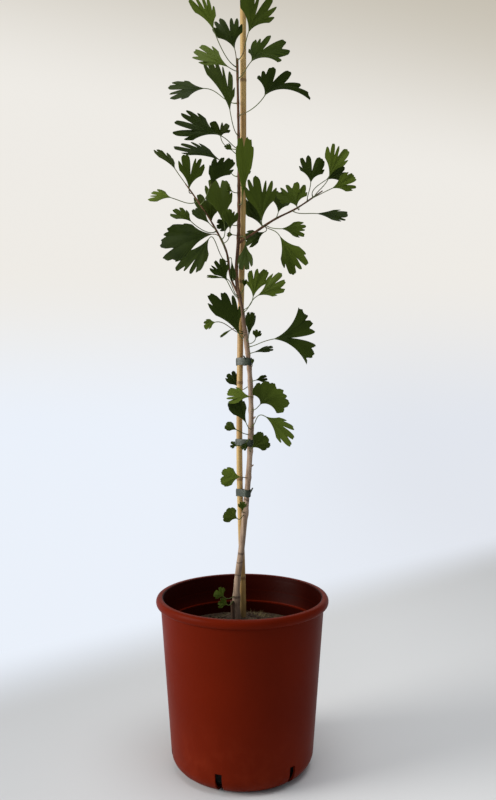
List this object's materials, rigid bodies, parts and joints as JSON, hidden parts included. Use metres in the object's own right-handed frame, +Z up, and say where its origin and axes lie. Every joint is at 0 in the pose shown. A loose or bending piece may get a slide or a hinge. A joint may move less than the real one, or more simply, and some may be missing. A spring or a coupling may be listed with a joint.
{
  "type": "potted ginkgo sapling",
  "caption": "Young ginkgo with fan-shaped, lobed leaves on slender branches, tied to a bamboo cane in a round terracotta-coloured nursery pot of soil.",
  "frame": {"origin": "centre of the pot's flat underside", "axes": "+Z up along the trunk, -Y the front, +X to the right seen from the front"},
  "size_m": [0.2796, 0.24, 1.094],
  "materials": {
    "pot": "satin moulded polypropylene",
    "soil": "rough, granular potting soil with moss",
    "bark": "matt young bark",
    "bamboo": "smooth dry bamboo",
    "tape": "soft plastic tie tape",
    "leaf": "waxy green leaf with fine fanned veins"
  },
  "bodies": {
    "root": {"pot": "pot", "soil": "soil", "stem": "bark", "cane": "bamboo", "tie_lower": "tape", "tie_middle": "tape", "tie_upper": "tape", "leaf_top_1": "leaf", "leaf_top_2": "leaf", "leaf_top_3": "leaf", "leaf_top_4": "leaf", "leaf_top_5": "leaf", "leaf_top_6": "leaf", "leaf_top_7": "leaf", "leaf_top_8": "leaf", "leaf_top_9": "leaf", "leaf_top_10": "leaf", "leaf_top_11": "leaf", "leaf_top_12": "leaf", "leaf_left_1": "leaf", "leaf_left_2": "leaf", "leaf_left_3": "leaf", "leaf_left_4": "leaf", "leaf_left_5": "leaf", "leaf_left_6": "leaf", "leaf_left_7": "leaf", "leaf_left_8": "leaf", "leaf_left_9": "leaf", "leaf_left_10": "leaf", "leaf_left_11": "leaf", "leaf_left_12": "leaf", "leaf_centre_1": "leaf", "leaf_centre_2": "leaf", "leaf_right_1": "leaf", "leaf_right_2": "leaf", "leaf_right_3": "leaf", "leaf_right_4": "leaf", "leaf_right_5": "leaf", "leaf_right_6": "leaf", "leaf_right_7": "leaf", "leaf_right_8": "leaf", "leaf_right_9": "leaf", "leaf_right_10": "leaf", "leaf_right_11": "leaf", "leaf_right_12": "leaf", "leaf_middle_1": "leaf", "leaf_middle_2": "leaf", "leaf_middle_3": "leaf", "leaf_middle_4": "leaf", "leaf_middle_5": "leaf", "leaf_middle_6": "leaf", "leaf_middle_7": "leaf", "leaf_middle_8": "leaf", "leaf_middle_9": "leaf", "leaf_middle_10": "leaf", "leaf_middle_11": "leaf", "leaf_middle_12": "leaf", "leaf_low_1": "leaf", "leaf_low_2": "leaf", "leaf_low_3": "leaf"}
  },
  "joints": []
}
